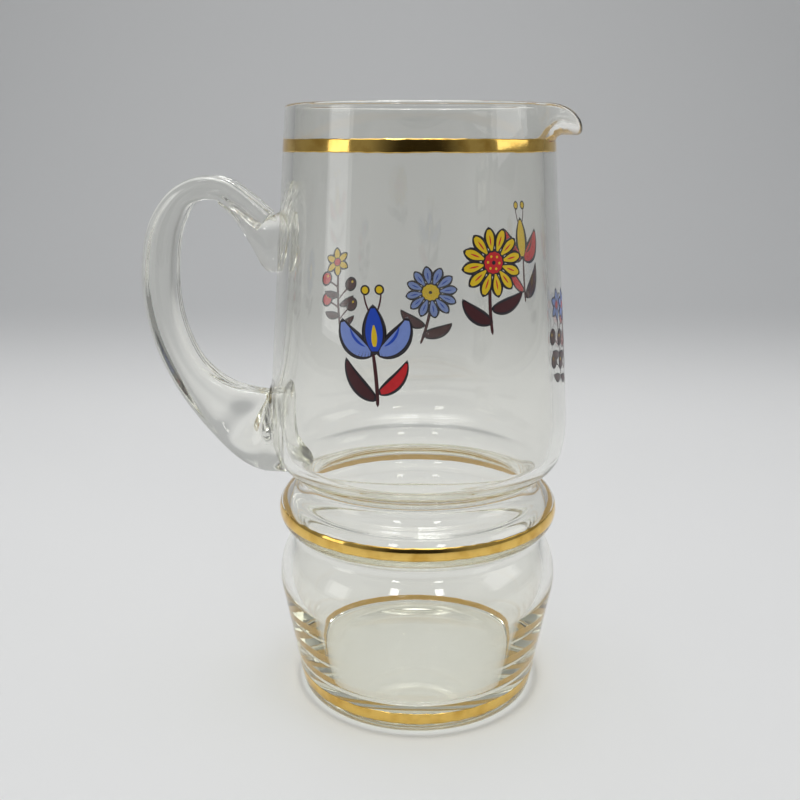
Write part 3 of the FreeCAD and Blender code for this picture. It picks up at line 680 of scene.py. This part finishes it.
sprays = {
    "blueTulipSpray": {
        "draw": drawTulip, "node": "blue_tulip_spray", "slot": "blue_enamel",
        "azimuth": -105.0, "height": 163.0, "lean": 4.0,
        "petal": "paleBlue", "heart": "deepBlue", "vein": "deepBlue",
    },
    "yellowDaisySpray": {
        "draw": drawDaisy, "node": "yellow_daisy_spray", "slot": "yellow_enamel",
        "azimuth": -62.0, "height": 196.0, "lean": -6.0,
        "petal": "yellow", "heart": "red", "vein": "red",
    },
    "rightBerrySpray": {
        "draw": drawBerries, "node": "right_berry_spray", "slot": "red_enamel",
        "azimuth": -14.0, "height": 160.0, "lean": 5.0,
        "petal": "red", "heart": "paleBlue", "vein": "yellow",
    },
    "redTulipSpray": {
        "draw": drawTulip, "node": "red_tulip_spray", "slot": "red_enamel",
        "azimuth": 30.0, "height": 188.0, "lean": -5.0,
        "petal": "red", "heart": "yellow", "vein": "maroon",
    },
    "blueDaisySpray": {
        "draw": drawDaisy, "node": "blue_daisy_spray", "slot": "blue_enamel",
        "azimuth": 84.0, "height": 168.0, "lean": 6.0,
        "petal": "paleBlue", "heart": "yellow", "vein": "deepBlue",
    },
    "leftBerrySpray": {
        "draw": drawBerries, "node": "left_berry_spray", "slot": "red_enamel",
        "azimuth": 131.0, "height": 170.0, "lean": -4.0,
        "petal": "red", "heart": "yellow", "vein": "yellow",
    },
}


def makeSpray(name, settings):
    spray = {**settings, "scale": enamelFilm["scale"], "points": [], "faces": [], "colours": []}
    spray["draw"](spray)
    piece = makeMesh(name, np.concatenate(spray["points"]) * mm, spray["faces"])
    settle(piece, enamelPaint, spray["node"])
    piece.data.polygons.foreach_set("material_index", np.concatenate(spray["colours"]))
    sealSkin(piece)
    return piece


body = makeGlassBody()
print("glass body turned,", len(body.data.polygons), "faces")
makeHandle()
print("handle drawn on")
for seed, (place, band) in enumerate(bands.items(), start=3):
    makeBand(place, band, seed)
print("gilt bands laid")
for name, settings in sprays.items():
    makeSpray(name, settings)
print("enamel sprays printed")


# Table top and back wall in one pale sweep, with soft lamps, in metres
stage = {
    "front": -1.6, "bend": 0.32, "bendRadius": 0.55, "top": 1.3, "half": 1.3, "level": -0.0004,
    # the wall colour is painted shade, brought in over the first few centimetres of height above the table
    "table": ((0.80, 0.80, 0.80, 1.0), (0.84, 0.84, 0.835, 1.0)), "wall": (0.50, 0.505, 0.51, 1.0),
    "shadeRise": (-0.01, 0.075), "rough": 0.7,
}


def paleSweep():
    # a white table that turns into a grey wall; the wall's grey is painted shade for the dimmer light on the
    # upright part of the sweep
    material, shader, add, join = nodeKit("paleSweep")
    place = add("ShaderNodeTexCoord")
    noise = add("ShaderNodeTexNoise", Scale=3.0, Detail=3.0)
    table = add("ShaderNodeMix", data_type="RGBA")
    table.inputs[6].default_value, table.inputs[7].default_value = stage["table"]
    parts = add("ShaderNodeSeparateXYZ")
    # where the painted shade of the wall takes over from the table colour, by height
    shadeRise = add("ShaderNodeMapRange", interpolation_type="SMOOTHSTEP", **ranged(*stage["shadeRise"], "From"))
    wall = add("ShaderNodeMix", data_type="RGBA")
    wall.inputs[7].default_value = stage["wall"]
    join(place.outputs["Object"], noise.inputs["Vector"])
    join(place.outputs["Object"], parts.inputs["Vector"])
    join(noise.outputs["Fac"], table.inputs[0])
    join(parts.outputs["Z"], shadeRise.inputs["Value"])
    join(shadeRise.outputs["Result"], wall.inputs[0])
    join(table.outputs[2], wall.inputs[6])
    join(wall.outputs[2], shader.inputs["Base Color"])
    shader.inputs["Roughness"].default_value = stage["rough"]
    return material


def makeStage():
    s = stage
    bend = np.radians(np.linspace(-90, 0, 24))
    y = np.r_[s["front"], s["bend"] + s["bendRadius"] * np.cos(bend), s["bend"] + s["bendRadius"]]
    z = np.r_[0.0, s["bendRadius"] * (1 + np.sin(bend)), s["top"]] + s["level"]
    x = np.linspace(-s["half"], s["half"], 9)
    points = np.stack(np.broadcast_arrays(x[:, None], y[None], z[None]), -1).reshape(-1, 3)
    sweep = makeMesh("paleSweep", points, gridFaces(len(x), len(y)))
    sweep.data.materials.append(paleSweep())


lamps = {
    "overhead": {"at": (-0.1, 0.1, 1.25), "turn": (0, 0, 0), "size": (1.0, 0.8), "power": 5.2},
    "ceilingLeft": {"at": (-0.20, 0.14, 1.2), "turn": (0, 0, 0), "size": (0.14, 0.4), "power": 1.3},
    "ceilingRight": {"at": (0.07, 0.14, 1.2), "turn": (0, 0, 0), "size": (0.14, 0.4), "power": 1.3},
    "windowLeft": {"at": (-0.46, -1.25, 0.95), "turn": (57, 0, -20), "size": (0.16, 0.3), "power": 1.3},
    "windowRight": {"at": (0.46, -1.25, 0.95), "turn": (57, 0, 20), "size": (0.16, 0.3), "power": 1.3},
    "leftWindow": {"at": (-1.2, -0.5, 0.32), "turn": (0, -84, 22), "size": (0.5, 0.45), "power": 1.1},
    "sideGlow": {"at": (1.1, -0.2, 0.6), "turn": (0, 75, 0), "size": (0.5, 0.7), "power": 1.4},
}
# the room is dark on the side that the jug is looked at from, grey at its sides and pale overhead
room = {
    "behind": (0.05, 0.047, 0.045, 1.0), "sides": (0.48, 0.485, 0.48, 1.0), "high": (0.80, 0.82, 0.84, 1.0),
    "sidesFrom": (-0.95, -0.75), "highFrom": (0.25, 0.75), "strength": 0.48, "bounces": 24,
}


def makeLamps():
    for name, lamp in lamps.items():
        light = bpy.data.lights.new(name, "AREA")
        light.shape = "RECTANGLE"
        light.size, light.size_y = lamp["size"]
        light.energy = lamp["power"]
        holder = bpy.data.objects.new(name, light)
        holder.location = lamp["at"]
        holder.rotation_euler = [math.radians(a) for a in lamp["turn"]]
        scene.collection.objects.link(holder)


def makeRoom():
    world = bpy.data.worlds.new("room")
    world.use_nodes = True
    tree = world.node_tree
    back = tree.nodes["Background"]
    back.inputs["Strength"].default_value = room["strength"]
    parts = tree.nodes.new("ShaderNodeSeparateXYZ")
    tree.links.new(tree.nodes.new("ShaderNodeTexCoord").outputs["Generated"], parts.inputs["Vector"])
    mixes = []
    for axis, shade in (("Y", "sides"), ("Z", "high")):
        share = tree.nodes.new("ShaderNodeMapRange")
        share.inputs["From Min"].default_value, share.inputs["From Max"].default_value = room[shade + "From"]
        mix = tree.nodes.new("ShaderNodeMix")
        mix.data_type = "RGBA"
        mix.inputs[7].default_value = room[shade]
        tree.links.new(parts.outputs[axis], share.inputs["Value"])
        tree.links.new(share.outputs["Result"], mix.inputs[0])
        mixes.append(mix)
    mixes[0].inputs[6].default_value = room["behind"]
    tree.links.new(mixes[0].outputs[2], mixes[1].inputs[6])
    tree.links.new(mixes[1].outputs[2], back.inputs["Color"])
    scene.world = world
    scene.view_settings.view_transform = "Standard"
    # light that runs round inside the glass needs many reflections to come out again
    scene.cycles.max_bounces = room["bounces"]
    scene.cycles.glossy_bounces = room["bounces"]
    scene.cycles.transmission_bounces = room["bounces"]
    scene.cycles.transparent_max_bounces = room["bounces"]


# focal length, picture width and the axis's place beside the picture's middle are in pixels
camera = {
    "focal": 950.0, "frame": 800.0, "sensor": 36.0, "near": 0.01,
    "pitch": 15.27, "distance": 0.400, "height": 0.239, "axisAt": 18.5,
}


def makeCamera():
    lens = bpy.data.cameras.new("camera")
    lens.sensor_width = camera["sensor"]
    lens.lens = camera["focal"] * lens.sensor_width / camera["frame"]
    lens.clip_start = camera["near"]
    holder = bpy.data.objects.new("camera", lens)
    holder.location = (0.0, -camera["distance"], camera["height"])
    yaw = math.atan(camera["axisAt"] / camera["focal"])
    holder.rotation_euler = (math.radians(90 - camera["pitch"]), 0.0, yaw)
    scene.collection.objects.link(holder)
    scene.camera = holder


makeStage()
makeLamps()
makeRoom()
makeCamera()
print("stage, lamps and camera set")
